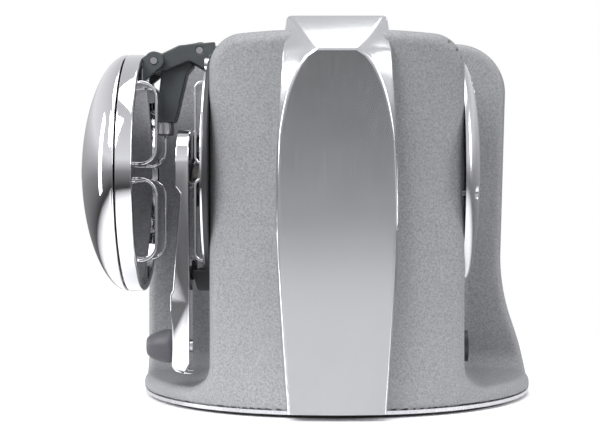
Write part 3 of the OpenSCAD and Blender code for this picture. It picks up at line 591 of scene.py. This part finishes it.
class CANOPENER_OT_casting(bpy.types.Operator):
    """Builds the textured casting: housing, platform and stand wall in one flowing surface"""
    bl_idname = "canopener.casting"
    bl_label = "Casting"

    def execute(self, context):
        casting = Casting(context.scene.casting_sizes)
        margin = 0.005
        low = [v - margin for v in STAND[0]]
        high = [v + margin for v in STAND[1]]
        points, faces = surface_net(casting.distance, low, high, context.scene.casting_sizes.cell)
        mesh = mesh_from_arrays("casting_skin", points, faces)
        crisp(mesh, 50.0)
        place_piece("casting_skin", mesh, "stand_casting", "housing_shell")
        return {"FINISHED"}


# ----------------------------------------------------------------------- band

class CANOPENER_OT_band(bpy.types.Operator):
    """Builds the smooth centre band with its hollow face, side facets and sloping brow"""
    bl_idname = "canopener.band"
    bl_label = "Centre band"

    def execute(self, context):
        sizes = context.scene.band_sizes
        casting = Casting(context.scene.casting_sizes)
        low, high = BAND
        top = high.z
        brow_z = top - 0.021
        waist_z = casting.axis_z - 0.017
        merge_z = waist_z - 0.009
        half = 0.0275
        free_face = -0.075
        face = free_face - sizes.waist
        edge = 0.0016

        def outer(z):
            return half + sizes.barrel * sin(pi * (z - low.z) / (top + 0.006 - low.z))

        def face_y(z):
            if z > waist_z:
                return face - sizes.brow * ((z - waist_z) / (brow_z - waist_z)) ** 2
            return face - (face - low.y) * ((waist_z - z) / (waist_z - low.z)) ** 2

        def inner(z):
            """Half width of the hollow face: an arch that closes in towards the brow."""
            t = max(0.0, (z - merge_z) / (brow_z - merge_z))
            arch = sizes.facet_top + (outer(merge_z) - sizes.facet_top) * (1 - t ** 2.9) ** 0.62
            return min(outer(z) - edge, arch)

        def side_y(z):
            t = max(0.0, (z - merge_z) / (brow_z - merge_z))
            settle = face_y(merge_z) + edge
            return max(face_y(z) + edge, settle + (face_y(brow_z) + sizes.facet_drop - settle) * t)

        rows = []
        steps = 46
        for i in range(steps + 1):
            z = low.z + (brow_z - low.z) * i / steps
            back = casting.face_y(outer(z), z) + 0.0012
            rows.append((outer(z), side_y(z), z, inner(z), face_y(z), z, back, z))
        brow = rows[-1]
        crest_y = -0.063
        for i in range(1, 9):
            t = i / 8
            z = brow_z + (top - brow_z) * t
            y = brow[4] + (crest_y - brow[4]) * (0.72 * t + 0.28 * t * t)
            wide = outer(z)
            back = min(top - 0.010, z)
            rows.append((wide, brow[1] + (crest_y + 0.002 - brow[1]) * t, z - edge * t,
                         brow[3] + (wide - edge - brow[3]) * t, y, z,
                         max(-0.070, crest_y) + 0.012 * t, back))
        crest = rows[-1]
        for i in range(1, 15):
            y = crest_y + (high.y - crest_y) * i / 14
            rows.append((crest[0], y, top - edge, crest[3], y, top, y, casting.top - 0.004))

        columns = 8
        facets = 4
        bm = bmesh.new()
        grid = []
        for wide, side_at, side_z, narrow, y, z, back_y, back_z in rows:
            line = [(-wide, back_y, back_z)]
            for k in range(facets):
                t = k / facets
                line.append((-(wide + (narrow - wide) * t), side_at + (y - side_at) * t,
                             side_z + (z - side_z) * t))
            for k in range(columns + 1):
                line.append((narrow * (2 * k / columns - 1), y, z))
            for k in range(facets - 1, -1, -1):
                t = k / facets
                line.append((wide + (narrow - wide) * t, side_at + (y - side_at) * t,
                             side_z + (z - side_z) * t))
            line.append((wide, back_y, back_z))
            grid.append([bm.verts.new(p) for p in line])
        for a, b in zip(grid, grid[1:]):
            for i in range(len(a)):
                j = (i + 1) % len(a)
                bm.faces.new((a[i], a[j], b[j], b[i]))
        bm.faces.new(grid[0][::-1])
        bm.faces.new(grid[-1])
        bmesh.ops.recalc_face_normals(bm, faces=bm.faces)
        weight = bm.edges.layers.float.new("bevel_weight_edge")
        ridges = (1, facets + 1, facets + columns + 1, len(grid[0]) - 2)
        for a, b in zip(grid, grid[1:]):
            for column in ridges:
                bm.edges.get((a[column], b[column]))[weight] = 1.0
        for row, first, last in ((steps, facets + 1, facets + columns + 1),
                                 (steps + 8, 1, len(grid[0]) - 2)):
            for i in range(first, last):
                bm.edges.get((grid[row][i], grid[row][i + 1]))[weight] = 1.0
        mesh = bpy.data.meshes.new("band_skin")
        bm.to_mesh(mesh)
        bm.free()
        crisp(mesh, 40.0)
        piece = place_piece("band_skin", mesh, "centre_band")
        bevel = piece.modifiers.new("ridges", "BEVEL")
        bevel.width = sizes.crease
        bevel.segments = 3
        bevel.limit_method = "WEIGHT"
        bevel.use_clamp_overlap = False
        return {"FINISHED"}


# ---------------------------------------------------------------------- cover

def bulge(t, power):
    """Height of a domed profile at a share t of its radius."""
    return max(0.0, 1 - t ** power) ** (1 / power)


class CANOPENER_OT_cover(bpy.types.Operator):
    """Builds the chrome cover: full dome, ring with its seam, back plate, scoops and badge"""
    bl_idname = "canopener.cover"
    bl_label = "Flip cover"

    def execute(self, context):
        sizes = context.scene.cover_sizes
        centre = ((RING[0].y + RING[1].y) / 2, (RING[0].z + RING[1].z) / 2)
        radius = (RING[1].z - RING[0].z) / 2
        self.dome(sizes, centre, radius)
        self.ring(sizes, centre, radius)
        softened("cover_plate", 0.0004, 3)
        softened("cover_hinge", 0.0005)
        return {"FINISHED"}

    def dome(self, sizes, centre, radius):
        seam_x = DOME[1].x
        height = seam_x - DOME[0].x
        skin = 0.002
        shares = [sin(radians(90) * i / 40) for i in range(41)]
        outer = [(seam_x - height * bulge(t, sizes.roundness), radius * t) for t in shares]
        outer = outer[:-2] + corner(seam_x - 0.0006, radius - 0.0006, 0.0006, 150, 0, 5)
        inner = [(seam_x - (height - skin) * bulge(t, sizes.roundness), (radius - skin) * t)
                 for t in reversed(shares)]
        mesh = lathe("dome_skin", outer + inner, centre, turns=160)
        place_piece("dome_skin", mesh, "cover_dome")
        turn = sizes.badge / radius
        face = [(seam_x - height * bulge(t, sizes.roundness), t * radius)
                for t in [turn * i / 8 for i in range(9)]]
        lift = 0.0009
        outline = [(x - lift * (1 - (i / 8) ** 6), r) for i, (x, r) in enumerate(face)]
        badge = lathe("badge_skin", outline + [(face[-1][0] + 0.0006, face[-1][1])], centre, turns=96)
        place_piece("badge_skin", badge, "cover_badge")

    def ring(self, sizes, centre, radius):
        front, back = RING[0].x, RING[1].x
        bore = radius - 0.004
        edge = 0.0014
        profile = ([(front + sizes.seam, bore)]
                   + corner(front + sizes.seam + 0.0006, radius - 0.0006, 0.0006, 180, 90, 4)
                   + corner(back - edge, radius - edge, edge, 90, 0, 5)
                   + [(back, bore + 0.0008), (back - 0.0008, bore)])
        place_piece("ring_skin", lathe("ring_skin", profile, centre, ring=True, turns=160), "cover_ring")


# ----------------------------------------------------------------- other parts

class CANOPENER_OT_head(bpy.types.Operator):
    """Finishes the opening head: bezel with its scoops, shroud and cover bracket"""
    bl_idname = "canopener.head"
    bl_label = "Opening head"

    def execute(self, context):
        softened("front_bezel", 0.0004, 3)
        softened("front_shroud", 0.0008)
        softened("cover_bracket", 0.0009, 3)
        return {"FINISHED"}


class CANOPENER_OT_lever(bpy.types.Operator):
    """Finishes the lever, its knob and the cutter that it carries"""
    bl_idname = "canopener.lever"
    bl_label = "Lever and cutter"

    def execute(self, context):
        softened("lever", 0.0011, 3)
        softened("lever_knob", 0.0007, 3)
        softened("cutter_wheel", 0.0001)
        softened("cutter_stud", 0.0003)
        return {"FINISHED"}


class CANOPENER_OT_magnet_arm(bpy.types.Operator):
    """Finishes the arm that holds the lid magnet"""
    bl_idname = "canopener.magnet_arm"
    bl_label = "Magnet arm"

    def execute(self, context):
        softened("magnet_arm", 0.0011, 3)
        softened("magnet_cup", 0.0003)
        return {"FINISHED"}


class CANOPENER_OT_rear_cap(bpy.types.Operator):
    """Builds the domed rear cap with its sunk screws"""
    bl_idname = "canopener.rear_cap"
    bl_label = "Rear cap"

    def execute(self, context):
        low, high = CAP
        flank = HOUSING[1].x
        centre = ((low.y + high.y) / 2, (low.z + high.z) / 2)
        radius = (high.z - low.z) / 2
        height = high.x - flank
        fullness = 2.4
        skin = 0.003
        shares = [sin(radians(90) * i / 36) for i in range(37)]
        outer = [(flank + height * bulge(t, fullness), radius * t) for t in shares]
        inner = [(flank, radius - skin)]
        inner += [(flank + (height - skin) * bulge(t, fullness), (radius - skin) * t)
                  for t in reversed(shares)]
        mesh = lathe("rear_cap_skin", outer + inner, centre, turns=144)
        piece = place_piece("rear_cap_skin", mesh, "rear_cap")
        self.sink(piece, flank)
        return {"FINISHED"}

    def sink(self, piece, flank):
        """Cuts a round recess over each screw."""
        spots = screw_places("rear_cap_screws")
        tools = bmesh.new()
        for at in spots:
            rows = [[tools.verts.new(p) for p in circle(x, r, (at.y, at.z), 40)]
                    for x, r in ((flank + 0.0035, 0.0045), (flank + 0.03, 0.0045))]
            for i in range(40):
                j = (i + 1) % 40
                tools.faces.new((rows[0][i], rows[0][j], rows[1][j], rows[1][i]))
            tools.faces.new(rows[0][::-1])
            tools.faces.new(rows[1])
        bmesh.ops.recalc_face_normals(tools, faces=tools.faces)
        mesh = bpy.data.meshes.new("recess_tools")
        tools.to_mesh(mesh)
        tools.free()
        cutter = bpy.data.objects.new("recess_tools", mesh)
        bpy.context.scene.collection.objects.link(cutter)
        cut = piece.modifiers.new("recesses", "BOOLEAN")
        cut.object = cutter
        cut.solver = "EXACT"
        apply_modifiers(piece)
        bpy.data.objects.remove(cutter)
        crisp(piece.data, 35.0)


def screw_places(node):
    """The middle of the box round each solid of a node, seen along X."""
    spots = []
    for vertex in frame["nodes"][node].data.vertices:
        flat = Vector((0, vertex.co.y, vertex.co.z))
        near = [group for group in spots if (group[0] - flat).length < 0.012]
        if near:
            near[0].append(flat)
        else:
            spots.append([flat])
    middles = []
    for group in spots:
        lows = [min(p[i] for p in group) for i in (1, 2)]
        highs = [max(p[i] for p in group) for i in (1, 2)]
        middles.append(Vector((0, (lows[0] + highs[0]) / 2, (lows[1] + highs[1]) / 2)))
    return middles


def apply_modifiers(piece):
    """Bakes a piece's modifiers into its mesh."""
    graph = bpy.context.evaluated_depsgraph_get()
    final = bpy.data.meshes.new_from_object(piece.evaluated_get(graph))
    piece.modifiers.clear()
    piece.data = final


class CANOPENER_OT_fittings(bpy.types.Operator):
    """Gives every carried-over mechanism part the finish of its slot"""
    bl_idname = "canopener.fittings"
    bl_label = "Mechanism finishes"

    def execute(self, context):
        for node, item in frame["nodes"].items():
            item.data.materials.clear()
            item.data.materials.append(bpy.data.materials[SLOT_OF[node]])
            crisp(item.data, 30.0)
        return {"FINISHED"}


# ---------------------------------------------------------------------- stage

def soft_light(name, place, target, size, power, shade=(1.0, 1.0, 1.0)):
    data = bpy.data.lights.new(name, "AREA")
    data.shape = "RECTANGLE"
    data.size, data.size_y = size
    data.energy = power
    data.color = shade
    lamp = bpy.data.objects.new(name, data)
    bpy.context.scene.collection.objects.link(lamp)
    lamp.location = place
    lamp.rotation_euler = (Vector(target) - Vector(place)).to_track_quat("-Z", "Y").to_euler()
    return lamp


class CANOPENER_OT_stage(bpy.types.Operator):
    """Sets the pale floor, the soft lights and the camera"""
    bl_idname = "canopener.stage"
    bl_label = "Studio"

    def execute(self, context):
        studio = context.scene.studio
        camera_data = bpy.data.cameras.new("camera")
        camera_data.lens = studio.lens
        camera_data.shift_x = studio.offset
        camera = bpy.data.objects.new("camera", camera_data)
        context.scene.collection.objects.link(camera)
        camera.location = (0.0, -studio.distance, studio.height)
        camera.rotation_euler = (radians(90), 0.0, 0.0)
        context.scene.camera = camera
        context.scene.view_settings.view_transform = "Standard"
        self.floor()
        self.surroundings(context, studio)
        aim = (0.0, 0.0, 0.11)
        soft_light("key", (-0.9, -1.1, 1.15), aim, (0.9, 0.9), 26.0)
        soft_light("overhead", (0.1, -0.1, 1.3), aim, (1.2, 0.8), 10.0)
        soft_light("side_strip", (-1.3, 0.05, 0.35), (-0.1, 0.0, 0.13), (0.28, 0.9), 7.0)
        soft_light("rear_side", (1.4, -0.4, 0.7), aim, (0.6, 0.9), 9.0)
        return {"FINISHED"}

    def floor(self):
        reach = 3.0
        bm = bmesh.new()
        bm.faces.new([bm.verts.new((x, y, 0.0)) for x, y in
                      ((-reach, -reach), (reach, -reach), (reach, reach), (-reach, reach))])
        mesh = bpy.data.meshes.new("floor")
        bm.to_mesh(mesh)
        bm.free()
        g = Graph("pale_floor", Roughness=0.6, Base_Color=(0.95, 0.95, 0.96))
        away = g.node("ShaderNodeVectorMath", {"operation": "LENGTH"},
                      {0: g.node("ShaderNodeTexCoord", output="Object")}, output="Value")
        g.set("Alpha", g.remap(away, 0.24, 0.52, 1.0, 0.0))
        mesh.materials.append(g.material)
        floor = bpy.data.objects.new("floor", mesh)
        bpy.context.scene.collection.objects.link(floor)

    def surroundings(self, context, studio):
        """A plain white backdrop, and a room for reflections that is bright above and dark below."""
        world = bpy.data.worlds.new("room")
        context.scene.world = world
        world.use_nodes = True
        tree = world.node_tree
        tree.nodes.clear()
        room = tree.nodes.new("ShaderNodeBackground")
        room.inputs[1].default_value = studio.sky
        spot = tree.nodes.new("ShaderNodeTexCoord")
        split = tree.nodes.new("ShaderNodeSeparateXYZ")
        ramp = tree.nodes.new("ShaderNodeValToRGB")
        tree.links.new(spot.outputs["Generated"], split.inputs[0])
        half = tree.nodes.new("ShaderNodeMapRange")
        half.inputs["From Min"].default_value = -1.0
        tree.links.new(split.outputs[2], half.inputs["Value"])
        tree.links.new(half.outputs[0], ramp.inputs[0])
        levels = ((0.0, 0.11), (0.38, 0.07), (0.50, 0.30), (0.60, 0.95), (1.0, 0.66))
        for i, (place, level) in enumerate(levels):
            stop = ramp.color_ramp.elements
            item = stop[i] if i < len(stop) else stop.new(place)
            item.position = place
            item.color = (level, level, level * 1.03, 1.0)
        tree.links.new(ramp.outputs[0], room.inputs[0])
        plain = tree.nodes.new("ShaderNodeBackground")
        plain.inputs[0].default_value = (1.0, 1.0, 1.0, 1.0)
        plain.inputs[1].default_value = 1.0
        path = tree.nodes.new("ShaderNodeLightPath")
        mixed = tree.nodes.new("ShaderNodeMixShader")
        out = tree.nodes.new("ShaderNodeOutputWorld")
        tree.links.new(path.outputs["Is Camera Ray"], mixed.inputs[0])
        tree.links.new(room.outputs[0], mixed.inputs[1])
        tree.links.new(plain.outputs[0], mixed.inputs[2])
        tree.links.new(mixed.outputs[0], out.inputs[0])


# ---------------------------------------------------------------------- panel

STEPS = (CANOPENER_OT_fittings, CANOPENER_OT_casting, CANOPENER_OT_band, CANOPENER_OT_cover,
         CANOPENER_OT_head, CANOPENER_OT_lever, CANOPENER_OT_magnet_arm, CANOPENER_OT_rear_cap,
         CANOPENER_OT_stage)
SETTINGS = {"casting_sizes": CastingSizes, "band_sizes": BandSizes, "cover_sizes": CoverSizes,
            "finishes": Finishes, "studio": Studio}


class CANOPENER_PT_panel(bpy.types.Panel):
    """Lists the settings and the steps that build the can opener"""
    bl_idname = "CANOPENER_PT_panel"
    bl_label = "Can opener"
    bl_space_type = "VIEW_3D"
    bl_region_type = "UI"
    bl_category = "Can opener"

    def draw(self, context):
        for name, group in SETTINGS.items():
            box = self.layout.box()
            box.label(text=name.replace("_", " ").capitalize())
            for item in group.__annotations__:
                box.prop(getattr(context.scene, name), item)
        for step in STEPS:
            self.layout.operator(step.bl_idname)


def register():
    for item in (*SETTINGS.values(), *STEPS, CANOPENER_PT_panel):
        bpy.utils.register_class(item)
    for name, group in SETTINGS.items():
        setattr(bpy.types.Scene, name, bpy.props.PointerProperty(type=group))


def unregister():
    for name in SETTINGS:
        delattr(bpy.types.Scene, name)
    for item in (CANOPENER_PT_panel, *reversed(STEPS), *SETTINGS.values()):
        bpy.utils.unregister_class(item)


def plain(box):
    return [list(corner_point) for corner_point in box]


def main():
    register()
    build_finishes(bpy.context.scene.finishes)
    for step in STEPS:
        group, name = step.bl_idname.split(".")
        getattr(getattr(bpy.ops, group), name)()


if __name__ == "__main__":
    main()
